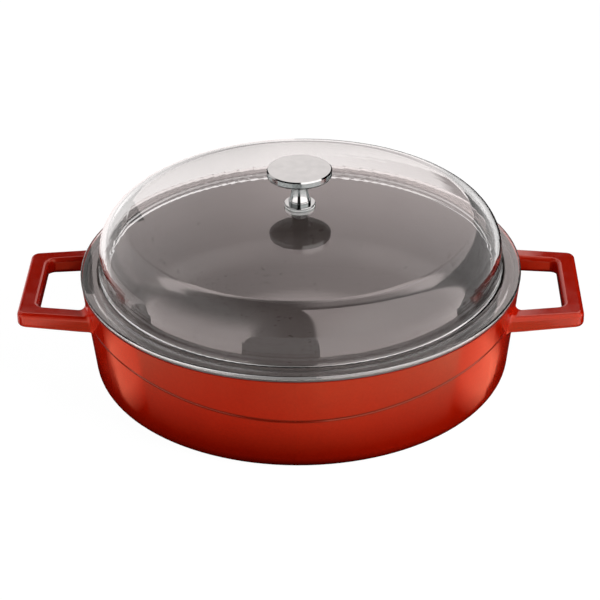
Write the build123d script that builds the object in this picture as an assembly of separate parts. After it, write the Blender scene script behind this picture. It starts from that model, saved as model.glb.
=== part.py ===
from build123d import *
from build123d.topology import SkipClean
import math
import os

# A round, low, enamelled cast iron pot with two loop handles, and a domed glass lid with a turned metal knob.
# Millimetres, +Z up. The origin is the centre of the base, and the handles reach along X.

# ---- Pot: outside and inside surfaces, coats included ----
RIM_RADIUS = 145.0
WALL_TAPER = 8.0                # the outside wall, carried straight down to the base, is this much inside the rim
POT_HEIGHT = 70.0
BASE_CORNER = 10.0
WALL_THICKNESS = 5.0
FLOOR_THICKNESS = 6.0
INSIDE_CORNER = 20.0
ENAMEL_THICKNESS = 1.0          # each coat, outside and inside
BARE_RIM = 1.2                  # both coats stop this far below the top of the rim
BARE_FOOT = 0.5                 # the outside coat stops this far above the base
RIM_ROUNDING = 0.9

# ---- Handles: one loop each side, part of the casting ----
HANDLE_LENGTH = 39.5            # rim to the outer face of a loop
HANDLE_DROP = 11.5              # rim down to the top of a loop
HANDLE_TIP_HEIGHT = 10.6
HANDLE_ROOT_HEIGHT = 11.7
HANDLE_ROOT_HALF_WIDTH = 48.7   # where the arms meet the wall
HANDLE_TIP_HALF_WIDTH = 42.4
HANDLE_ARM_WIDTH = 11.4         # the two arms that leave the wall
HANDLE_GRIP_WIDTH = 12.9        # the bar across their ends
HANDLE_CORNER = 6.0
HANDLE_HOLE_CORNER = 5.0
HANDLE_EDGE = 3.0
HANDLE_ROOT_FILLET = 4.0

# ---- Decorative line: low at the front and back, rising to the handles ----
LINE_DROP = 31.1                # rim down to the lowest part of the line
LINE_END_DROP = 7.6             # top of the handles down to the ends of the line
LINE_DEPTH = 0.45
LINE_WIDTH = 1.4

# ---- Glass lid ----
LID_GAP = 0.3                   # rim to the underside of the flange
FLANGE_OVERHANG = 0.2           # flange beyond the rim
FLANGE_THICKNESS = 3.0
FLANGE_EDGE = 1.2
FLANGE_WIDTH = 12.4             # edge of the flange to the foot of the dome's wall
DOME_DRAFT = 2.0                # degrees that the wall leans inwards
DOME_HEIGHT = 46.0              # underside of the flange to the top of the crown
CROWN_RADIUS = 842.0
SHOULDER_RADIUS = 22.0
FOOT_FILLET = 2.0
GLASS_THICKNESS = 4.0
LIP_DEPTH = 3.5                 # the ring under the flange that centres the lid in the pot
LIP_WIDTH = 3.5
LIP_CLEARANCE = 1.2             # lip to the inside of the rim

# ---- Knob and what holds it ----
DISC_RADIUS = 21.3
DISC_THICKNESS = 5.0
DISC_TOP_BEVEL = 0.8
DISC_UNDER_ROUNDING = 1.2
STEM_HEIGHT = 16.7
STEM_TOP_RADIUS = 5.3
STEM_FOOT_RADIUS = 6.75
STEM_FLARE_HEIGHT = 11.0
STEM_FLARE_LEAN = 0.35          # how far the stem's foot leans outwards, as a slope
COLLAR_RADIUS = 10.2
COLLAR_HEIGHT = 3.4             # its flange with the boss that the stem stands on
COLLAR_FLANGE = 1.0
BOSS_RADIUS = 7.3
COLLAR_ROUNDING = 0.6
UPPER_GASKET_RADIUS = 10.0
UPPER_GASKET_THICKNESS = 0.8
LOWER_GASKET_RADIUS = 9.5
LOWER_GASKET_THICKNESS = 1.5
SPIGOT_CLEARANCE = 0.2          # gasket spigot to the hole in the glass
GLASS_HOLE_RADIUS = 4.2
SCREW_RADIUS = 2.5
SCREW_CLEARANCE = 0.3           # screw to all that it passes through
THREAD_CLEARANCE = 0.05         # screw to the tapped hole in the knob
THREAD_DEPTH = 11.0
RUN_GAP = 0.3                   # between the glass with its gaskets and the knob with its screw
WASHER_RADIUS = 9.0
WASHER_THICKNESS = 1.2
LOCK_WASHER_RADIUS = 4.6
LOCK_WASHER_THICKNESS = 1.1
LOCK_WASHER_SPLIT = 0.9
HEAD_RADIUS = 4.75
HEAD_HEIGHT = 3.0
HEAD_ROUNDING = 1.0
SOCKET_ACROSS_FLATS = 3.0
SOCKET_DEPTH = 1.8
SEAT_MARGIN = 0.5               # flat spot in the glass beyond a gasket's edge

# ---- Worked out from the values above ----
BASE_RADIUS = RIM_RADIUS - WALL_TAPER
WALL_SLOPE = math.atan((RIM_RADIUS - BASE_RADIUS) / POT_HEIGHT)
HANDLE_REACH = RIM_RADIUS + HANDLE_LENGTH
HANDLE_TOP_Z = POT_HEIGHT - HANDLE_DROP
LINE_LOW_Z = POT_HEIGHT - LINE_DROP
LINE_RISE = HANDLE_TOP_Z - LINE_END_DROP - LINE_LOW_Z
FLANGE_RADIUS = RIM_RADIUS + FLANGE_OVERHANG
DOME_FOOT_RADIUS = FLANGE_RADIUS - FLANGE_WIDTH
FLANGE_UNDER_Z = POT_HEIGHT + LID_GAP
FLANGE_TOP_Z = FLANGE_UNDER_Z + FLANGE_THICKNESS
CROWN_TOP_Z = FLANGE_UNDER_Z + DOME_HEIGHT
CROWN_UNDER_Z = CROWN_TOP_Z - GLASS_THICKNESS

# ---- How the shapes are made ----
OVERSHOOT = 1.0                 # cutting tools run past what they cut by this
EDGE_SEARCH = 0.8               # an edge this near the pot's wall lies on it
WALL_SECTORS = 6                # pieces the pot's wall is turned in, with a handle in the middle of two
LINE_STEPS = 12                 # points along half of the decorative line
CORNER_PASSES = 8               # rounds that find where the dome's wall meets its crown


def wall_radius(depth, z):
    """Radius at height z of the surface that lies depth inside the pot's outside wall."""
    return BASE_RADIUS + z * math.tan(WALL_SLOPE) - depth / math.cos(WALL_SLOPE)


def crown_z(top_z, crown_radius, radius):
    """Height of a crown sphere at a distance from the axis."""
    return top_z - crown_radius + math.sqrt(crown_radius ** 2 - radius ** 2)


def turned(section):
    """A solid turned from a half section drawn in X and Z."""
    return revolve(Plane.YZ * section, Axis.Z)


def ring(outer, inner, low, high):
    """A flat ring."""
    return turned(Polygon((inner, low), (outer, low), (outer, high), (inner, high), align=None))


def cup(depth, foot_z, top_z, corner):
    """The tapered bowl shape whose wall lies depth inside the outside wall."""
    section = Polygon((0, foot_z), (wall_radius(depth, foot_z), foot_z),
                      (wall_radius(depth, top_z), top_z), (0, top_z), align=None)
    foot = section.vertices().sort_by_distance((wall_radius(depth, foot_z), foot_z, 0))[0]
    section = Plane.XZ * fillet(foot, corner)
    share = 360 / WALL_SECTORS
    sectors = [Rot(0, 0, share * (number - 0.5)) * revolve(section, Axis.Z, share)
               for number in range(WALL_SECTORS)]
    return sectors[0].fuse(*sectors[1:])


def half_width(x):
    """Half the outside width of a loop at a distance from the axis."""
    root_x = math.sqrt(wall_radius(0, HANDLE_TOP_Z) ** 2 - HANDLE_ROOT_HALF_WIDTH ** 2)
    slope = (HANDLE_ROOT_HALF_WIDTH - HANDLE_TIP_HALF_WIDTH) / (HANDLE_REACH - root_x)
    return HANDLE_TIP_HALF_WIDTH + slope * (HANDLE_REACH - x)


def handle(depth):
    """One loop on the +X side, with each face depth inside the finished surface, and its inner end in the wall."""
    inner_x = RIM_RADIUS - HANDLE_ROOT_HALF_WIDTH
    root_half = half_width(inner_x) - depth
    tip_half = HANDLE_TIP_HALF_WIDTH - depth
    reach = HANDLE_REACH - depth
    outline = Polygon((inner_x, -root_half), (reach, -tip_half), (reach, tip_half), (inner_x, root_half),
                      align=None)
    outline = fillet(outline.vertices().group_by(Axis.X)[-1], HANDLE_CORNER - depth)

    root_hole = half_width(inner_x) - HANDLE_ARM_WIDTH + depth
    tip_hole = tip_hole_half() + depth
    hole_x = HANDLE_REACH - HANDLE_GRIP_WIDTH + depth
    hole = Polygon((inner_x - OVERSHOOT, -root_hole), (hole_x, -tip_hole), (hole_x, tip_hole),
                   (inner_x - OVERSHOOT, root_hole), align=None)
    hole = fillet(hole.vertices().group_by(Axis.X)[-1], HANDLE_HOLE_CORNER + depth)
    plan = extrude(outline - hole, POT_HEIGHT)

    top = HANDLE_TOP_Z - depth
    root_under = HANDLE_TOP_Z - HANDLE_ROOT_HEIGHT + depth
    tip_under = HANDLE_TOP_Z - HANDLE_TIP_HEIGHT + depth
    side = Polygon((inner_x - OVERSHOOT, top), (inner_x - OVERSHOOT, root_under),
                   (wall_radius(0, HANDLE_TOP_Z), root_under), (HANDLE_REACH, tip_under), (HANDLE_REACH, top),
                   align=None)
    side = extrude(Plane.XZ * side, half_width(inner_x), both=True)
    loop = plan & side
    level_faces = [face for face in loop.faces() if abs(face.normal_at().Z) > 0.5]
    long_edges = [edge for face in level_faces for edge in face.edges() if (edge @ 0.5).X > inner_x + OVERSHOOT]
    return fillet(long_edges, HANDLE_EDGE - depth)


def root_edges(pot, depth, side_x, side_y):
    """The edges where one arm of a loop meets the pot's wall."""
    low = HANDLE_TOP_Z - HANDLE_ROOT_HEIGHT
    found = []
    for edge in pot.edges():
        middle = edge @ 0.5
        on_wall = abs(math.hypot(middle.X, middle.Y) - wall_radius(depth, middle.Z)) < EDGE_SEARCH
        on_arm = side_x * middle.X > 0 and side_y * middle.Y > tip_hole_half() / 2
        if on_wall and on_arm and low - OVERSHOOT < middle.Z < HANDLE_TOP_Z + OVERSHOOT:
            found.append(edge)
    return found


def tip_hole_half():
    """Half the width of the finger hole at its outer end."""
    return HANDLE_TIP_HALF_WIDTH - HANDLE_ARM_WIDTH


def pot_form(depth):
    """The pot with its handles as one solid, not yet hollow, depth inside the finished outside."""
    loop = handle(depth)
    pot = cup(depth, 0, POT_HEIGHT, BASE_CORNER) + loop + mirror(loop, Plane.YZ)
    for side_x in (1, -1):
        for side_y in (1, -1):
            pot = fillet(root_edges(pot, depth, side_x, side_y), HANDLE_ROOT_FILLET + depth)
    return pot


def cavity(depth):
    """What is taken out of the pot down to depth inside its outside wall."""
    under_floor = WALL_THICKNESS - depth
    return cup(depth, FLOOR_THICKNESS - under_floor, POT_HEIGHT + OVERSHOOT, INSIDE_CORNER + under_floor)


def line_height(angle):
    """Height of the decorative line at an angle from the front, in degrees: half a cosine wave."""
    return LINE_LOW_Z + LINE_RISE * (1 - math.cos(math.pi * angle / line_end_angle())) / 2


def line_end_angle():
    """Where the line dies into the fillet at a handle's root."""
    reach = HANDLE_ROOT_HALF_WIDTH + HANDLE_ROOT_FILLET
    return math.degrees(math.acos(reach / wall_radius(0, LINE_LOW_Z + LINE_RISE)))


def decorative_line():
    """The cutter for the shallow line across the front."""
    cutter_radius = (LINE_WIDTH ** 2 / 4 + LINE_DEPTH ** 2) / (2 * LINE_DEPTH)
    points = []
    for step in range(-LINE_STEPS, LINE_STEPS + 1):
        angle = line_end_angle() * step / LINE_STEPS
        radius = wall_radius(LINE_DEPTH - cutter_radius, line_height(angle))
        turn = math.radians(angle)
        points.append((radius * math.sin(turn), -radius * math.cos(turn), line_height(angle)))
    path = Spline(*points)
    return sweep(Plane(path @ 0, z_dir=path % 0) * Circle(cutter_radius), path)


def pot_casting(form):
    """The iron: everything inside the outside coat, hollowed down to the inside coat."""
    pot = form - cavity(WALL_THICKNESS - ENAMEL_THICKNESS)
    rim = pot.edges().group_by(Axis.Z)[-1]
    return fillet(rim, RIM_ROUNDING)


def exterior_enamel(outside, form):
    """The coat over the wall and the handles, open at the base and at the rim."""
    corner_reach = math.hypot(HANDLE_REACH, HANDLE_TIP_HALF_WIDTH)
    band = Pos(0, 0, BARE_FOOT) * Cylinder(corner_reach + OVERSHOOT, POT_HEIGHT - BARE_RIM - BARE_FOOT,
                                           align=(Align.CENTER, Align.CENTER, Align.MIN))
    coat = (outside & band) - form
    line = decorative_line()
    return coat - line - mirror(line, Plane.XZ)


def interior_enamel():
    """The coat over the inside wall and floor."""
    coat = cavity(WALL_THICKNESS - ENAMEL_THICKNESS) - cavity(WALL_THICKNESS)
    band = Cylinder(RIM_RADIUS, POT_HEIGHT - BARE_RIM, align=(Align.CENTER, Align.CENTER, Align.MIN))
    return coat & band


def dome(inset):
    """The turned solid under one surface of the dome, inset inside its outer surface."""
    lean = math.radians(DOME_DRAFT)
    top_z = CROWN_TOP_Z - inset
    crown_radius = CROWN_RADIUS - inset

    def wall_at(z):
        return DOME_FOOT_RADIUS - (z - FLANGE_TOP_Z) * math.tan(lean) - inset / math.cos(lean)

    corner_z = top_z
    for _ in range(CORNER_PASSES):
        corner_z = crown_z(top_z, crown_radius, wall_at(corner_z))
    low_z = FLANGE_UNDER_Z - OVERSHOOT
    corner = (wall_at(corner_z), corner_z)
    outline = [Line((0, low_z), (wall_at(low_z), low_z)), Line((wall_at(low_z), low_z), corner),
               RadiusArc(corner, (0, top_z), -crown_radius), Line((0, top_z), (0, low_z))]
    section = make_face(Curve() + outline)
    shoulder = section.vertices().sort_by_distance((corner[0], corner[1], 0))[0]
    return turned(fillet(shoulder, max(SHOULDER_RADIUS - inset, SHOULDER_RADIUS / 2)))


def glass_lid():
    """The domed glass with its flange, its centring lip and the hole for the knob's screw."""
    flange = ring(FLANGE_RADIUS, 0, FLANGE_UNDER_Z, FLANGE_TOP_Z)
    flange = fillet(flange.edges().filter_by(GeomType.CIRCLE).group_by(SortBy.RADIUS)[-1], FLANGE_EDGE)
    lip_radius = wall_radius(WALL_THICKNESS, POT_HEIGHT) - LIP_CLEARANCE
    lip = ring(lip_radius, lip_radius - LIP_WIDTH, FLANGE_UNDER_Z - LIP_DEPTH, FLANGE_UNDER_Z)
    shell = dome(0)
    above = Pos(0, 0, FLANGE_UNDER_Z) * Cylinder(FLANGE_RADIUS, DOME_HEIGHT + OVERSHOOT,
                                                 align=(Align.CENTER, Align.CENTER, Align.MIN))
    glass = flange + (shell & above)
    foot = [edge for edge in glass.edges().filter_by(GeomType.CIRCLE)
            if abs((edge @ 0).Z - FLANGE_TOP_Z) < 1e-3 and abs(edge.radius - DOME_FOOT_RADIUS) < 1e-3]
    glass = fillet(foot, FOOT_FILLET)
    glass = glass + lip - dome(GLASS_THICKNESS)
    upper_seat = ring(UPPER_GASKET_RADIUS + SEAT_MARGIN, 0, upper_seat_z(), CROWN_TOP_Z + OVERSHOOT)
    lower_seat = ring(LOWER_GASKET_RADIUS + SEAT_MARGIN, 0, CROWN_UNDER_Z - OVERSHOOT, lower_seat_z())
    hole = ring(GLASS_HOLE_RADIUS, 0, CROWN_UNDER_Z - OVERSHOOT, CROWN_TOP_Z + OVERSHOOT)
    return glass - upper_seat - lower_seat - hole


def upper_seat_z():
    """The flat spot on the crown, just deep enough to be flat right across."""
    return crown_z(CROWN_TOP_Z, CROWN_RADIUS, UPPER_GASKET_RADIUS + SEAT_MARGIN)


def lower_seat_z():
    """The flat spot under the crown."""
    return CROWN_UNDER_Z


def collar_z():
    """Underside of the knob's collar."""
    return upper_seat_z() + UPPER_GASKET_THICKNESS + RUN_GAP


def stem_z():
    """Foot of the knob's stem, on the collar."""
    return collar_z() + COLLAR_HEIGHT


def washer_z():
    """Top of the steel washer under the glass."""
    return lower_seat_z() - LOWER_GASKET_THICKNESS - RUN_GAP


def upper_gasket():
    """Silicone washer on the glass, with a spigot that lines the upper half of the hole."""
    bore = SCREW_RADIUS + SCREW_CLEARANCE
    washer = ring(UPPER_GASKET_RADIUS, bore, upper_seat_z(), upper_seat_z() + UPPER_GASKET_THICKNESS)
    middle = (upper_seat_z() + lower_seat_z()) / 2
    return washer + ring(GLASS_HOLE_RADIUS - SPIGOT_CLEARANCE, bore, middle, upper_seat_z())


def lower_gasket():
    """Silicone washer under the glass."""
    bore = SCREW_RADIUS + SCREW_CLEARANCE
    return ring(LOWER_GASKET_RADIUS, bore, lower_seat_z() - LOWER_GASKET_THICKNESS, lower_seat_z())


def knob():
    """Disc and flared stem turned in one piece, tapped from below for the screw."""
    disc_z = stem_z() + STEM_HEIGHT
    disc = ring(DISC_RADIUS, 0, disc_z, disc_z + DISC_THICKNESS)
    rims = disc.edges().filter_by(GeomType.CIRCLE).sort_by(Axis.Z)
    disc = chamfer(rims[-1], DISC_TOP_BEVEL)
    lower_rim = disc.edges().filter_by(GeomType.CIRCLE).sort_by(Axis.Z)[0]
    disc = fillet(lower_rim, DISC_UNDER_ROUNDING)
    flare_z = stem_z() + STEM_FLARE_HEIGHT
    side = [Line((0, stem_z()), (STEM_FOOT_RADIUS, stem_z())),
            Spline((STEM_FOOT_RADIUS, stem_z()), (STEM_TOP_RADIUS, flare_z),
                   tangents=[(-STEM_FLARE_LEAN, 1), (0, 1)]),
            Line((STEM_TOP_RADIUS, flare_z), (STEM_TOP_RADIUS, disc_z)),
            Line((STEM_TOP_RADIUS, disc_z), (0, disc_z)), Line((0, disc_z), (0, stem_z()))]
    stem = turned(make_face(Curve() + side))
    tapped = ring(SCREW_RADIUS + THREAD_CLEARANCE, 0, stem_z() - OVERSHOOT, stem_z() + THREAD_DEPTH)
    return disc + stem - tapped


def knob_collar():
    """The round base that the stem stands on: a thin flange with a boss."""
    bore = SCREW_RADIUS + SCREW_CLEARANCE
    flange_z = collar_z() + COLLAR_FLANGE
    collar = ring(COLLAR_RADIUS, bore, collar_z(), flange_z) + ring(BOSS_RADIUS, bore, flange_z, stem_z())
    rims = collar.edges().filter_by(GeomType.CIRCLE).group_by(SortBy.RADIUS)
    tops = [rims[-2].sort_by(Axis.Z)[-1], rims[-1].sort_by(Axis.Z)[-1]]
    return fillet(tops, COLLAR_ROUNDING)


def backing_washer():
    """Flat steel washer that spreads the screw's load."""
    return ring(WASHER_RADIUS, SCREW_RADIUS + SCREW_CLEARANCE, washer_z() - WASHER_THICKNESS, washer_z())


def lock_washer():
    """Split spring washer, shown closed, with its split to +X."""
    top = washer_z() - WASHER_THICKNESS
    washer = ring(LOCK_WASHER_RADIUS, SCREW_RADIUS + SCREW_CLEARANCE, top - LOCK_WASHER_THICKNESS, top)
    split = Pos(LOCK_WASHER_RADIUS, 0, top - LOCK_WASHER_THICKNESS / 2) * Box(
        2 * LOCK_WASHER_RADIUS, LOCK_WASHER_SPLIT, 2 * LOCK_WASHER_THICKNESS)
    return washer - split


def knob_screw():
    """Machine screw with a rounded head and a hexagon socket, its thread plain."""
    under_head = washer_z() - WASHER_THICKNESS - LOCK_WASHER_THICKNESS
    tip = stem_z() + THREAD_DEPTH - OVERSHOOT
    head = ring(HEAD_RADIUS, 0, under_head - HEAD_HEIGHT, under_head)
    head = fillet(head.edges().filter_by(GeomType.CIRCLE).sort_by(Axis.Z)[0], HEAD_ROUNDING)
    hexagon = RegularPolygon(SOCKET_ACROSS_FLATS / 2, 6, major_radius=False)
    socket = extrude(Pos(0, 0, under_head - HEAD_HEIGHT) * hexagon, SOCKET_DEPTH)
    return head - socket + ring(SCREW_RADIUS, 0, under_head, tip)


def pot_pieces():
    """The casting and its two coats. Their walls stay in sectors, because one face all round measures wrongly."""
    with SkipClean():
        outside = pot_form(0)
        iron_form = pot_form(ENAMEL_THICKNESS)
        return {
            "pot_casting": pot_casting(iron_form),
            "exterior_enamel": exterior_enamel(outside, iron_form),
            "interior_enamel": interior_enamel(),
        }


def write_parts():
    """Builds every piece and writes one file for each."""
    os.makedirs("parts", exist_ok=True)
    pieces = pot_pieces() | {
        "glass_lid": glass_lid(),
        "upper_gasket": upper_gasket(),
        "lower_gasket": lower_gasket(),
        "knob": knob(),
        "knob_collar": knob_collar(),
        "backing_washer": backing_washer(),
        "lock_washer": lock_washer(),
        "knob_screw": knob_screw(),
    }
    for name, piece in pieces.items():
        export_step(piece, f"parts/{name}.step")


if __name__ == "__main__":
    write_parts()
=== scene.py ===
import math

import bpy
from mathutils import Matrix, Vector

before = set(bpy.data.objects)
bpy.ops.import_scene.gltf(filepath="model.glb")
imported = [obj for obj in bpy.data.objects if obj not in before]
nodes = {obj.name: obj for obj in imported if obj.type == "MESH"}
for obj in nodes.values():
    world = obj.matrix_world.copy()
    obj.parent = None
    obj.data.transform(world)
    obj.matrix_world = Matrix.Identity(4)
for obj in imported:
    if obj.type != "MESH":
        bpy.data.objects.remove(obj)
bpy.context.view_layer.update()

# ---- Camera, fitted to the photograph: metres and degrees, lens and sensor in millimetres ----
CAMERA_ELEVATION = 29.55
CAMERA_YAW = 1.58
CAMERA_ROLL = -0.80
CAMERA_DISTANCE = 1.5
CAMERA_TARGET_HEIGHT = 0.0448
CAMERA_SIDE_SHIFT = -0.00076
CAMERA_LENS = 134.86
SENSOR_WIDTH = 36.0
CLIP_NEAR = 0.01
CLIP_FAR = 50.0

# ---- The decorative line, as the solid has it: metres and degrees ----
LINE_LOW = 0.0389
LINE_RISE = 0.0120
LINE_END_ANGLE = 68.3           # from the front or the back
LINE_END_FADE = 2.0
LINE_HALF_WIDTH = 0.0007
LINE_FADE_WIDTH = 0.00154       # from the line's middle to where its shade ends
PAINTED_GROOVE_SHADE_SHARE = 0.8                # how far the painted shade darkens the groove's colour

# ---- Looks, in linear colour ----
# Painted shade, darkening the groove of the decorative line
PAINTED_GROOVE_SHADE = (0.085, 0.002, 0.0005)
PRICK_COLOUR = (0.10, 0.008, 0.004)
RED_DEEP = (0.300, 0.0055, 0.0008)
RED_LIGHT = (0.330, 0.0075, 0.0012)
RED_GRAIN = ((0.93, 0.90, 0.90), (1.05, 1.08, 1.08))
RED_GLINT = (1.0, 0.42, 0.28)
GREY_DARK = (0.082, 0.065, 0.061)
GREY_LIGHT = (0.108, 0.086, 0.081)
GREY_SPECKLE = ((0.25, (0.90, 0.895, 0.895)), (0.5, (1.0, 1.0, 1.0)), (0.75, (1.09, 1.085, 1.08)))
IRON = ((0.035, 0.033, 0.032), (0.12, 0.115, 0.11))
SILICONE = ((0.60, 0.60, 0.59), (0.72, 0.72, 0.71))
POLISHED = ((0.285, 0.315, 0.315), (0.315, 0.345, 0.345))
STEEL = ((0.40, 0.40, 0.40), (0.60, 0.59, 0.58))
GLASS_TINT = (0.930, 0.915, 0.910)
GLASS_SHADE = (0.92, 0.92, 0.92)        # share of a lamp's light that passes each surface of the glass
GLASS_IOR = 1.5
ENAMEL_IOR = 1.5
SILICONE_IOR = 1.41

# ---- Textures ----
NOISE_LOW = 0.3                 # a noise texture stays mostly between these two
NOISE_HIGH = 0.7
RING_SCALE = 0.314              # wave texture scale for rings one metre apart
PRICK_CELLS = 170.0             # cells to a metre, each with one place for a pinprick

# ---- Floor and world ----
FLOOR_HALF = 6.0
FLOOR_Z = -0.0002
FLOOR_OWN_LIGHT = 0.985         # share of the floor's white that no shadow takes away
FLOOR_MATT = 0.08               # what the lamps add to it outside the shadow
FLOOR_GREY = 0.30               # the floor as matt surfaces see it
ROOM_LIGHT = 0.45               # world seen by matt surfaces
WHITE = 1.0                     # world seen by the camera and in gloss and glass
PLAIN = (1.0, 1.0, 1.0)

# ---- Lamps: place, aim and power ----
LAMPS = {
    "key": ((0.62, -0.50, 0.62), (0.0, 0.0, 0.05), 6.0),
    "fill_behind": ((-0.45, 0.75, 0.40), (0.0, 0.0, 0.04), 3.0),
}
LAMP_SIZE = (0.5, 0.5)

# Gridded lamps, with level beams: azimuth from the front in degrees, height of the beam's foot, and power
GRID_LAMPS = {
    "grid_right": (50.0, 0.024, 0.21),
    "grid_left": (-52.0, 0.024, 0.32),
    "grid_far_right": (86.0, 0.004, 0.16),
    "grid_far_left": (-86.0, 0.004, 0.22),
}
GRID_SIZE = (0.60, 0.30)
GRID_DISTANCE = 0.80            # to the pot's axis
GRID_SPREAD = 4.0               # degrees

# ---- The room that gloss sees, by direction. Its axes are X, Y and Z of a unit vector, TURN in degrees from
# the front, and SLANT, which is X less a share of Z. A zone has the light it adds and its limits, and a limit
# is an axis, where the zone starts along it and where it is full. ----
ROOM_RADIUS = 1.9
ROOM_TINT = (1.0, 0.875, 0.86)
SLANT_SHARE = 1.2
FRONT = (("Y", 0.22, 0.10),)
FRONT_LIGHT = 0.03              # the dark gap in front that the camera looks out of
FRONT_ZONES = {
    "right_softbox": (3.6, (("TURN", 7.5, 11.0), ("TURN", 99.0, 95.0))),
    "left_softbox": (3.2, (("TURN", -21.0, -26.0), ("TURN", -89.0, -83.0), ("Z", 0.75, 0.05))),
}
WALL_LIGHT = 1.95               # the pale wall behind
WALL_ZONES = {
    "lighter_right": (0.30, (("X", 0.0, 0.14),)),
    "darker_left": (-0.45, (("X", 0.0, -0.16),)),
    "soft_spot": (0.20, (("X", -0.10, -0.045), ("X", 0.01, -0.035), ("Z", 0.60, 0.53))),
    "darker_top": (-0.35, (("Z", 0.50, 0.66),)),
    "darker_foot": (-1.0, (("Z", 0.42, 0.25),)),
    "light_bank": (2.4, (("Z", 0.735, 0.76), ("Z", 0.90, 0.84))),
}
WALL_GAPS = {                   # the wall's dark parts
    "far_right": (("X", 0.17, 0.23), ("SLANT", -0.28, -0.22)),
    "high_left": (("Z", 0.82, 0.86), ("X", 0.06, -0.04)),
}

# ---- What light finds that leaves the glass upwards: bright sides and a darker middle, by the size of X ----
SIDES_RADIUS = 2.0
SIDES_MIDDLE = 0.30
SIDES_LIGHT = 1.5
SIDES_EDGE = (0.12, 0.45)

# ---- Mat and cards, which the camera doesn't see directly: metres, and degrees from the front ----
MAT_Z = -0.0001
MAT_COLOUR = (0.012, 0.010, 0.010)
SIDE_CARD_Z = 0.0005
SIDE_CARD_TINT = (1.0, 0.27, 0.16)
SIDE_CARD_CENTRE = (0.168, -0.059)      # the glow's middle, on the right; the left one is its mirror image
SIDE_CARD_FADE = (0.028, 0.056)         # how far the glow is full, and how far it reaches
SIDE_CARDS = {                  # side, light, and the outline's corners as they stand on the right
    "card_right": (1.0, 2.8, ((0.106, -0.100), (0.215, -0.085), (0.215, 0.030), (0.160, -0.014),
                              (0.136, -0.054))),
    "card_left": (-1.0, 2.2, ((0.110, -0.100), (0.215, -0.085), (0.215, 0.0054), (0.135, -0.066))),
}

NEAR_FLOOR_Z = 0.0003
NEAR_FLOOR_RING = (0.13, 0.235)
NEAR_FLOOR_ENDS = (-88.0, 88.0)
NEAR_FLOOR_TINT = (1.0, 0.95, 0.60)
NEAR_FLOOR_PAINTED_SHADOW = (0.150, 0.205)        # painted shadow at the pot's foot: from dark to full, by distance from the axis
# Painted light that makes the glow brighter to the right
NEAR_FLOOR_LEFT = (0.8, -0.060)         # light, and the X up to which it holds
NEAR_FLOOR_RIGHT = (1.6, 0.030)
NEAR_FLOOR_BACK = (-0.070, -0.020)      # from full to dark, by Y

RING_Z = 0.0006
RING_STEPS = 12
RING_CARDS = {                  # light, azimuths of the ends, and how far these swing by the outer edge
    "front_right": (3.8, (9.0, 73.0), (0.0, 24.0)),
    "front_left": (3.4, (-67.0, -24.0), (-20.0, 0.0)),
    "back_left": (1.2, (-178.0, -84.0), (0.0, 0.0)),
}

TABLE_Z = 0.0004
TABLE_OUTLINE = ((0.010, 0.150), (0.118, 0.150), (0.150, 0.020), (0.220, 0.020), (0.220, 0.330),
                 (0.010, 0.330))
TABLE_FADE = (0.72, 0.010, 0.100)       # light it fades to, and the X between which it fades
TABLE_EDGE = (0.05, 0.106, 0.118)       # share left beyond the dark edge, and the X between which it drops

FLAG_COLOUR = (0.004, 0.004, 0.004)
FLAG_X = (0.186, 0.42)
FLAG_Y = 0.36
FLAG_Z = (0.16, 0.30)


def make_camera():
    """The camera at the photograph's viewing angle."""
    elevation = math.radians(CAMERA_ELEVATION)
    yaw = math.radians(CAMERA_YAW)
    roll = math.radians(CAMERA_ROLL)
    level = math.cos(elevation)
    back = Vector((math.sin(yaw) * level, -math.cos(yaw) * level, math.sin(elevation)))
    right = Vector((math.cos(yaw), math.sin(yaw), 0.0))
    up = back.cross(right)
    target = Vector((0.0, 0.0, CAMERA_TARGET_HEIGHT)) + right * CAMERA_SIDE_SHIFT
    rolled_right = right * math.cos(roll) + up * math.sin(roll)
    rolled_up = up * math.cos(roll) - right * math.sin(roll)
    data = bpy.data.cameras.new("camera")
    data.lens = CAMERA_LENS
    data.sensor_width = SENSOR_WIDTH
    data.clip_start = CLIP_NEAR
    data.clip_end = CLIP_FAR
    camera = bpy.data.objects.new("camera", data)
    turn = Matrix((rolled_right, rolled_up, back)).transposed().to_4x4()
    camera.matrix_world = Matrix.Translation(target + back * CAMERA_DISTANCE) @ turn
    bpy.context.scene.collection.objects.link(camera)
    bpy.context.scene.camera = camera


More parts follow.
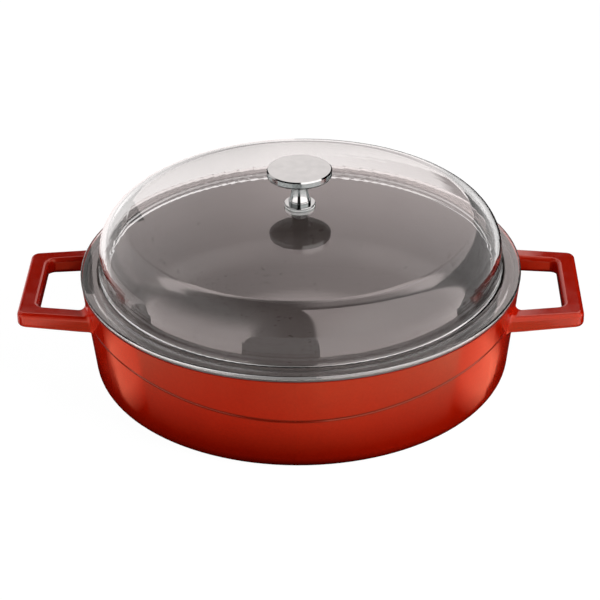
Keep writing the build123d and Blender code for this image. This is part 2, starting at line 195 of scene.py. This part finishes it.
# ---- Material building ----
class Look:
    """A material with its node tree, and short ways to add nodes to it."""

    def __init__(self, name):
        self.material = bpy.data.materials.new(name)
        self.material.use_nodes = True
        self.tree = self.material.node_tree
        self.tree.nodes.clear()
        self.output = self.add("ShaderNodeOutputMaterial")
        self.place = None

    def add(self, kind, **values):
        """A node, with sockets set or linked by name."""
        node = self.tree.nodes.new(kind)
        for name, value in values.items():
            self.give(node, name, value)
        return node

    def give(self, node, name, value):
        """Sets a property or a socket, or links a socket."""
        if hasattr(node, name) and name not in node.inputs:
            setattr(node, name, value)
            return
        socket = node.inputs[name]
        if isinstance(value, bpy.types.NodeSocket):
            self.tree.links.new(value, socket)
        elif isinstance(value, tuple) and len(value) == 3 and socket.type == "RGBA":
            socket.default_value = (*value, 1.0)
        else:
            socket.default_value = value

    def coordinates(self):
        """Object coordinates, which are the frame's own metres."""
        if self.place is None:
            self.place = self.add("ShaderNodeTexCoord").outputs["Object"]
        return self.place

    def noise(self, size, detail=2.0, roughness=0.5, stretch=None):
        """Noise whose features are about size metres across."""
        vector = self.coordinates()
        if stretch:
            vector = self.add("ShaderNodeMapping", Vector=vector, Scale=stretch).outputs["Vector"]
        return self.add("ShaderNodeTexNoise", Vector=vector, Scale=1.0 / size, Detail=detail,
                        Roughness=roughness).outputs["Fac"]

    def ramp(self, value, *stops):
        """A colour ramp over (position, colour) stops."""
        node = self.add("ShaderNodeValToRGB", Fac=value)
        elements = node.color_ramp.elements
        while len(elements) < len(stops):
            elements.new(0.5)
        for element, (position, colour) in zip(elements, stops):
            element.position = position
            element.color = (*colour, 1.0)
        return node.outputs["Color"]

    def blend(self, value, low, high):
        """A colour that a noise carries from one colour to another."""
        return self.ramp(value, (NOISE_LOW, low), (NOISE_HIGH, high))

    def spread(self, value, low, high, low_in=NOISE_LOW, high_in=NOISE_HIGH):
        """A value carried from the range low_in to high_in to the range low to high, held at its ends."""
        names = {"From Min": low_in, "From Max": high_in, "To Min": low, "To Max": high}
        return self.add("ShaderNodeMapRange", Value=value, **names).outputs["Result"]

    def mix(self, factor, a, b, blend="MIX"):
        """A mix of two colours."""
        node = self.add("ShaderNodeMix", data_type="RGBA", blend_type=blend)
        for name, value in (("Factor_Float", factor), ("A_Color", a), ("B_Color", b)):
            socket = next(s for s in node.inputs if s.identifier == name)
            if isinstance(value, bpy.types.NodeSocket):
                self.tree.links.new(value, socket)
            else:
                socket.default_value = (*value, 1.0) if isinstance(value, tuple) else value
        return next(s for s in node.outputs if s.identifier == "Result_Color")

    def maths(self, operation, a, b=0.0):
        """One step of arithmetic on two numbers or sockets."""
        node = self.add("ShaderNodeMath", operation=operation)
        for socket, value in zip(node.inputs, (a, b)):
            if isinstance(value, bpy.types.NodeSocket):
                self.tree.links.new(value, socket)
            else:
                socket.default_value = value
        return node.outputs["Value"]

    def bump(self, height, depth, normal=None):
        """A bump depth metres deep."""
        values = {"Height": height, "Strength": 1.0, "Distance": depth}
        if normal is not None:
            values["Normal"] = normal
        return self.add("ShaderNodeBump", **values).outputs["Normal"]

    def turned_rings(self, width, wobble=0.0):
        """Fine rings about the vertical axis, width metres from one to the next."""
        node = self.add("ShaderNodeTexWave", wave_type="RINGS", rings_direction="Z", Detail=1.0,
                        Vector=self.coordinates(), Scale=RING_SCALE / width, Distortion=wobble)
        return node.outputs["Fac"]

    def choose(self, factor, first, second):
        """The first shader where the factor is 0, the second where it is 1."""
        node = self.add("ShaderNodeMixShader")
        for socket, value in zip(node.inputs, (factor, first, second)):
            self.tree.links.new(value, socket)
        return node.outputs[0]

    def direction(self):
        """X, Y and Z of the direction from the origin to this point."""
        way = self.add("ShaderNodeVectorMath", operation="NORMALIZE")
        self.tree.links.new(self.coordinates(), way.inputs[0])
        return self.add("ShaderNodeSeparateXYZ", Vector=way.outputs["Vector"]).outputs

    def surface(self, shader):
        """Links the shader to the output and gives the material back."""
        self.tree.links.new(shader, self.output.inputs["Surface"])
        return self.material

    def glow(self, colour, strength):
        """A glowing surface that gives light only to the rays that meet it, and isn't sampled as a lamp."""
        emission = self.add("ShaderNodeEmission", Color=colour, Strength=strength)
        self.material.cycles.emission_sampling = "NONE"
        return self.surface(emission.outputs["Emission"])

    def principled(self, **values):
        """The Principled shader, with socket names written with _ for each space."""
        node = self.add("ShaderNodeBsdfPrincipled")
        for name, value in values.items():
            self.give(node, name.replace("_", " "), value)
        return node.outputs["BSDF"]


def groove_share(look):
    """1 in the shallow line that the wall carries at the front and the back, 0 beside it: where the groove's
    painted shade goes.
    """
    axes = look.add("ShaderNodeSeparateXYZ", Vector=look.coordinates()).outputs
    end = math.radians(LINE_END_ANGLE)
    turn = look.maths("ABSOLUTE", look.maths("ARCTAN2", axes["X"], look.maths("ABSOLUTE", axes["Y"])))
    wave = look.maths("COSINE", look.maths("MULTIPLY", turn, math.pi / end))
    rise = look.maths("MULTIPLY", look.maths("SUBTRACT", 1.0, wave), LINE_RISE / 2)
    off = look.maths("ABSOLUTE", look.maths("SUBTRACT", axes["Z"], look.maths("ADD", rise, LINE_LOW)))
    near = look.spread(off, 1.0, 0.0, LINE_HALF_WIDTH, LINE_FADE_WIDTH)
    inside = look.spread(turn, 1.0, 0.0, end - math.radians(LINE_END_FADE), end)
    return look.maths("MULTIPLY", near, inside)


def red_enamel():
    """Glossy vitreous enamel over sand-cast iron: soft mottling, an orange-peel surface, a few pinpricks, and
    painted shade that darkens the groove of the decorative line.
    """
    look = Look("red_enamel")
    mottling = look.noise(size=0.045, detail=4.0, roughness=0.6)
    base = look.ramp(mottling, (0.35, RED_DEEP), (0.65, RED_LIGHT))
    grain = look.blend(look.noise(size=0.0016), *RED_GRAIN)
    colour = look.mix(1.0, base, grain, "MULTIPLY")
    cells = look.add("ShaderNodeTexVoronoi", Vector=look.coordinates(), Scale=PRICK_CELLS).outputs
    pricks = look.spread(cells["Distance"], low=0.35, high=0.0, low_in=0.02, high_in=0.045)
    colour = look.mix(pricks, colour, PRICK_COLOUR)
    # Painted shade darkens the groove of the decorative line
    colour = look.mix(look.maths("MULTIPLY", groove_share(look), PAINTED_GROOVE_SHADE_SHARE), colour, PAINTED_GROOVE_SHADE)
    rough = look.spread(look.noise(size=0.012, detail=3.0), low=0.10, high=0.19)
    waves = look.bump(look.noise(size=0.011), depth=0.00006)
    peel = look.bump(look.noise(size=0.0022), depth=0.000006, normal=waves)
    return look.surface(look.principled(Base_Color=colour, Roughness=rough, Normal=peel, IOR=ENAMEL_IOR,
                                        Specular_Tint=(*RED_GLINT, 1.0)))


def grey_enamel():
    """Satin cooking enamel with a faint speckle."""
    look = Look("grey_enamel")
    base = look.blend(look.noise(size=0.05, detail=3.0), GREY_DARK, GREY_LIGHT)
    speckle = look.noise(size=0.0011, detail=3.0, roughness=0.7)
    colour = look.mix(1.0, base, look.ramp(speckle, *GREY_SPECKLE), "MULTIPLY")
    rough = look.spread(look.noise(size=0.004, detail=3.0), low=0.26, high=0.40)
    normal = look.bump(speckle, depth=0.00002)
    return look.surface(look.principled(Base_Color=colour, Roughness=rough, Normal=normal, IOR=ENAMEL_IOR))


def cast_iron():
    """Bare ground iron at the rim and the foot, dark and grainy."""
    look = Look("cast_iron")
    grain = look.noise(size=0.0009, detail=5.0, roughness=0.7)
    colour = look.blend(grain, *IRON)
    rough = look.spread(look.noise(size=0.003, detail=3.0), low=0.38, high=0.60)
    normal = look.bump(grain, depth=0.00005)
    return look.surface(look.principled(Base_Color=colour, Roughness=rough, Normal=normal, Metallic=0.6))


def clear_glass():
    """Pressed clear glass with faint waves and mould rings; lamps shine through it."""
    look = Look("clear_glass")
    waves = look.noise(size=0.030, roughness=0.4)
    rings = look.maths("MULTIPLY", look.turned_rings(width=0.0035, wobble=1.2), 0.06)
    normal = look.bump(look.maths("ADD", waves, rings), depth=0.00002)
    shader = look.principled(Base_Color=(*GLASS_TINT, 1.0), Roughness=0.0, IOR=GLASS_IOR,
                             Transmission_Weight=1.0, Normal=normal)
    clear = look.add("ShaderNodeBsdfTransparent", Color=GLASS_SHADE).outputs["BSDF"]
    path = look.add("ShaderNodeLightPath")
    for ray in ("Is Shadow Ray", "Is Diffuse Ray"):
        shader = look.choose(path.outputs[ray], shader, clear)
    return look.surface(shader)


def silicone():
    """Milky translucent silicone."""
    look = Look("silicone")
    colour = look.blend(look.noise(size=0.004, detail=3.0), *SILICONE)
    rough = look.spread(look.noise(size=0.001), low=0.34, high=0.48)
    return look.surface(look.principled(Base_Color=colour, Roughness=rough, IOR=SILICONE_IOR,
                                        Transmission_Weight=0.35))


def polished_metal():
    """Polished stainless steel with the faint rings of its turning."""
    look = Look("polished_metal")
    colour = look.blend(look.noise(size=0.006, detail=3.0), *POLISHED)
    rough = look.spread(look.noise(size=0.003, detail=3.0), low=0.035, high=0.085)
    normal = look.bump(look.turned_rings(width=0.00045, wobble=0.6), depth=0.0000012)
    return look.surface(look.principled(Base_Color=colour, Roughness=rough, Normal=normal, Metallic=1.0))


def plain_steel():
    """Rolled steel with fine scratches."""
    look = Look("steel")
    scratch = look.noise(size=0.0006, detail=4.0, roughness=0.7, stretch=(1.0, 9.0, 1.0))
    colour = look.blend(scratch, *STEEL)
    rough = look.spread(scratch, low=0.22, high=0.38)
    normal = look.bump(scratch, depth=0.00001)
    return look.surface(look.principled(Base_Color=colour, Roughness=rough, Normal=normal, Metallic=1.0))


def dress():
    """Gives each CAD node the look of what it is made of."""
    steel = plain_steel()
    rubber = silicone()
    metal = polished_metal()
    looks = {
        "pot_casting": cast_iron(), "exterior_enamel": red_enamel(), "interior_enamel": grey_enamel(),
        "glass_lid": clear_glass(), "upper_gasket": rubber, "lower_gasket": rubber, "knob": metal,
        "knob_collar": metal, "backing_washer": steel, "lock_washer": steel, "knob_screw": steel,
    }
    for name, piece in nodes.items():
        piece.data.materials.clear()
        piece.data.materials.append(looks[name])


# ---- Studio building ----
def seen_by(obj, diffuse=False, glossy=False, transmission=False):
    """Hides a stage object from the camera and from lamps, and says which other rays meet it."""
    obj.visible_camera = False
    obj.visible_diffuse = diffuse
    obj.visible_glossy = glossy
    obj.visible_transmission = transmission
    obj.visible_shadow = False
    obj.visible_volume_scatter = False


def stage_mesh(name, points, faces, material):
    """A stage object."""
    mesh = bpy.data.meshes.new(name)
    mesh.from_pydata([tuple(p) for p in points], [], faces)
    mesh.update()
    obj = bpy.data.objects.new(name, mesh)
    obj.data.materials.append(material)
    bpy.context.scene.collection.objects.link(obj)
    return obj


def flat_stage(name, corners, material):
    """A stage object that is one flat face with these corners."""
    return stage_mesh(name, corners, [tuple(range(len(corners)))], material)


def matt(name, colour):
    """A matt stage material."""
    look = Look(name)
    return look.surface(look.add("ShaderNodeBsdfDiffuse", Color=colour).outputs["BSDF"])


def on_ring(radius, turn, z):
    """The point at a radius and at an azimuth in degrees from the front, counted towards the right."""
    return (radius * math.sin(math.radians(turn)), -radius * math.cos(math.radians(turn)), z)


def make_floor():
    """A pale floor that reads white and keeps a soft shadow."""
    look = Look("floor")
    path = look.add("ShaderNodeLightPath").outputs
    shown = look.maths("MAXIMUM", path["Is Camera Ray"], path["Is Transmission Ray"])
    shown = look.maths("MAXIMUM", shown, path["Is Glossy Ray"])
    white = look.add("ShaderNodeEmission", Color=PLAIN, Strength=FLOOR_OWN_LIGHT)
    lit = look.add("ShaderNodeBsdfDiffuse", Color=(FLOOR_MATT, FLOOR_MATT, FLOOR_MATT))
    both = look.add("ShaderNodeAddShader")
    for socket, part in zip(both.inputs, (white, lit)):
        look.tree.links.new(part.outputs[0], socket)
    grey = look.add("ShaderNodeBsdfDiffuse", Color=(FLOOR_GREY, FLOOR_GREY, FLOOR_GREY))
    material = look.surface(look.choose(shown, grey.outputs[0], both.outputs[0]))
    material.cycles.emission_sampling = "NONE"
    half = FLOOR_HALF
    corners = ((-half, -half), (half, -half), (half, half), (-half, half))
    flat_stage("floor", [(x, y, FLOOR_Z) for x, y in corners], material)


def make_world():
    """White behind the object, in gloss and through glass, and a quiet room for matt surfaces."""
    world = bpy.data.worlds.new("world")
    world.use_nodes = True
    tree = world.node_tree
    background = tree.nodes["Background"]
    path = tree.nodes.new("ShaderNodeLightPath")
    shown = path.outputs["Is Camera Ray"]
    for name in ("Is Glossy Ray", "Is Transmission Ray"):
        node = tree.nodes.new("ShaderNodeMath")
        node.operation = "MAXIMUM"
        tree.links.new(shown, node.inputs[0])
        tree.links.new(path.outputs[name], node.inputs[1])
        shown = node.outputs[0]
    spread = tree.nodes.new("ShaderNodeMapRange")
    spread.inputs["To Min"].default_value = ROOM_LIGHT
    spread.inputs["To Max"].default_value = WHITE
    tree.links.new(shown, spread.inputs["Value"])
    tree.links.new(spread.outputs["Result"], background.inputs["Strength"])
    background.inputs["Color"].default_value = (*PLAIN, 1.0)
    world.cycles.sampling_method = "NONE"
    bpy.context.scene.world = world


def softbox(name, place, target, size, power, spread=180.0):
    """A soft lamp aimed at a point, not itself mirrored. A narrow spread in degrees keeps its beam level."""
    data = bpy.data.lights.new(name, "AREA")
    data.shape = "RECTANGLE"
    data.size, data.size_y = size
    data.energy = power
    data.spread = math.radians(spread)
    lamp = bpy.data.objects.new(name, data)
    aim = Vector(target) - Vector(place)
    lamp.matrix_world = Matrix.Translation(place) @ aim.to_track_quat("-Z", "Y").to_matrix().to_4x4()
    lamp.visible_camera = False
    lamp.visible_glossy = False
    lamp.visible_transmission = False
    bpy.context.scene.collection.objects.link(lamp)


def make_lamps():
    """A key from the right, a fill from behind, and gridded lamps that leave the foot of the wall darker."""
    for name, (place, target, power) in LAMPS.items():
        softbox(name, place, target, LAMP_SIZE, power)
    for name, (turn, foot, power) in GRID_LAMPS.items():
        middle = foot + GRID_SIZE[1] / 2
        place = on_ring(GRID_DISTANCE, turn, middle)
        softbox(name, place, (0.0, 0.0, middle), GRID_SIZE, power, GRID_SPREAD)


# ---- The room in gloss and through glass ----
def zone_share(look, axes, limits):
    """1 in the part of the room that all the limits take in, 0 outside it."""
    share = 1.0
    for axis, start, full in limits:
        share = look.maths("MULTIPLY", share, look.spread(axes[axis], 0.0, 1.0, start, full))
    return share


def zone_light(look, axes, light, zones):
    """A level of light with what each zone adds to it."""
    for added, limits in zones.values():
        light = look.maths("ADD", light, look.maths("MULTIPLY", zone_share(look, axes, limits), added))
    return light


def room_light(look):
    """How bright the room is towards each direction, as gloss sees it: two tall softboxes in front with a
    dark gap between them for the camera, and a pale wall behind with two dark parts."""
    sockets = look.direction()
    axes = {name: sockets[name] for name in ("X", "Y", "Z")}
    turn = look.maths("ARCTAN2", axes["X"], look.maths("MULTIPLY", axes["Y"], -1.0))
    axes["TURN"] = look.maths("DEGREES", turn)
    axes["SLANT"] = look.maths("SUBTRACT", axes["X"], look.maths("MULTIPLY", axes["Z"], SLANT_SHARE))
    front = zone_share(look, axes, FRONT)
    behind = look.maths("SUBTRACT", 1.0, front)
    for limits in WALL_GAPS.values():
        behind = look.maths("MULTIPLY", behind, look.maths("SUBTRACT", 1.0, zone_share(look, axes, limits)))
    in_front = look.maths("MULTIPLY", front, zone_light(look, axes, FRONT_LIGHT, FRONT_ZONES))
    wall = look.maths("MULTIPLY", behind, zone_light(look, axes, WALL_LIGHT, WALL_ZONES))
    return look.maths("ADD", in_front, wall)


def sides_light(look):
    """How bright the studio is towards each direction, as the glass lets it through."""
    side = look.maths("ABSOLUTE", look.direction()["X"])
    return look.spread(side, SIDES_MIDDLE, SIDES_LIGHT, *SIDES_EDGE)


def half_sphere(name, radius, brightness, tint, rows=16, steps=48, **seen):
    """A half sphere of studio whose glow depends on direction."""
    look = Look(name)
    material = look.glow(tint, brightness(look))
    points, faces = [], []
    for row in range(rows):
        tilt = math.pi / 2 * row / rows
        level, z = radius * math.cos(tilt), radius * math.sin(tilt)
        points += [on_ring(level, 360.0 * step / steps, z) for step in range(steps)]
    top = len(points)
    points.append((0.0, 0.0, radius))
    for row in range(rows):
        for step in range(steps):
            a, b = row * steps + step, row * steps + (step + 1) % steps
            faces.append((a, b, b + steps, a + steps) if row < rows - 1 else (a, b, top))
    seen_by(stage_mesh(name, points, faces, material), **seen)


def make_room():
    """The studio that gloss sees, and the one that the glass lets through."""
    half_sphere("room", ROOM_RADIUS, room_light, ROOM_TINT, glossy=True)
    half_sphere("sides", SIDES_RADIUS, sides_light, PLAIN, transmission=True)


# ---- Mat and cards ----
def ring_card(name, material, ring, ends, swing=(0.0, 0.0), z=RING_Z):
    """A level card that is part of a ring, seen in gloss. Its ends may swing round by some degrees from the
    inner to the outer edge."""
    (inner, outer), (near, far) = ring, ends
    shares = [step / RING_STEPS for step in range(RING_STEPS + 1)]
    corners = [on_ring(inner, near + (far - near) * share, z) for share in shares]
    near, far = near + swing[0], far + swing[1]
    corners += [on_ring(outer, near + (far - near) * share, z) for share in reversed(shares)]
    seen_by(flat_stage(name, corners, material), glossy=True)


def make_mat():
    """A dark mat under the object, seen by gloss and matt surfaces."""
    steps = 96
    edge = [on_ring(ROOM_RADIUS, 360.0 * step / steps, MAT_Z) for step in range(steps)]
    seen_by(flat_stage("mat", edge, matt("mat", MAT_COLOUR)), diffuse=True, glossy=True)


def make_side_cards():
    """A glow on the floor at each side of the front, which fades with distance from its middle."""
    for name, (side, light, outline) in SIDE_CARDS.items():
        look = Look(name)
        offset = look.add("ShaderNodeVectorMath", operation="DISTANCE")
        look.tree.links.new(look.coordinates(), offset.inputs[0])
        offset.inputs[1].default_value = (side * SIDE_CARD_CENTRE[0], SIDE_CARD_CENTRE[1], 0.0)
        fade = look.spread(offset.outputs["Value"], light, 0.0, *SIDE_CARD_FADE)
        corners = [(side * x, y, SIDE_CARD_Z) for x, y in outline]
        seen_by(flat_stage(name, corners, look.glow(SIDE_CARD_TINT, fade)), glossy=True)


def make_near_floor():
    """A glow seen in gloss that stands in for the lit floor just in front of the pot, with a painted shadow
    that darkens it at the pot's foot, and painted light that makes it brighter to the right.
    """
    look = Look("near_floor")
    reach = look.add("ShaderNodeVectorMath", operation="LENGTH")
    look.tree.links.new(look.coordinates(), reach.inputs[0])
    axes = look.add("ShaderNodeSeparateXYZ", Vector=look.coordinates()).outputs
    # Painted shadow at the pot's foot, and painted light brighter to the right
    rise = look.spread(reach.outputs["Value"], 0.0, 1.0, *NEAR_FLOOR_PAINTED_SHADOW)
    (left_light, left), (right_light, right) = NEAR_FLOOR_LEFT, NEAR_FLOOR_RIGHT
    level = look.spread(axes["X"], left_light, right_light, left, right)
    forward = look.spread(axes["Y"], 1.0, 0.0, *NEAR_FLOOR_BACK)
    light = look.maths("MULTIPLY", look.maths("MULTIPLY", rise, level), forward)
    material = look.glow(NEAR_FLOOR_TINT, light)
    ring_card("near_floor", material, NEAR_FLOOR_RING, NEAR_FLOOR_ENDS, z=NEAR_FLOOR_Z)


def make_ring_cards():
    """The bright floor further out."""
    for name, (light, ends, swing) in RING_CARDS.items():
        ring_card(name, Look(name).glow(ROOM_TINT, light), (NEAR_FLOOR_RING[1], ROOM_RADIUS), ends, swing)


def make_table():
    """The darker table behind on the right, which only the glass lets through."""
    look = Look("table_behind")
    across = look.add("ShaderNodeSeparateXYZ", Vector=look.coordinates()).outputs["X"]
    fade, edge = (look.spread(across, 1.0, *part) for part in (TABLE_FADE, TABLE_EDGE))
    corners = [(x, y, TABLE_Z) for x, y in TABLE_OUTLINE]
    material = look.glow(PLAIN, look.maths("MULTIPLY", fade, edge))
    seen_by(flat_stage("table_behind", corners, material), transmission=True)


def make_flags():
    """Two upright black flags behind, seen in gloss."""
    black = matt("flag", FLAG_COLOUR)
    low, high = FLAG_Z
    for name, side in (("flag_right", 1.0), ("flag_left", -1.0)):
        near, far = sorted(side * x for x in FLAG_X)
        corners = [(near, FLAG_Y, low), (far, FLAG_Y, low), (far, FLAG_Y, high), (near, FLAG_Y, high)]
        seen_by(flat_stage(name, corners, black), glossy=True)


make_camera()
bpy.context.scene.view_settings.view_transform = "Standard"
make_world()
make_floor()
make_lamps()
make_room()
make_mat()
make_side_cards()
make_near_floor()
make_ring_cards()
make_table()
make_flags()
dress()
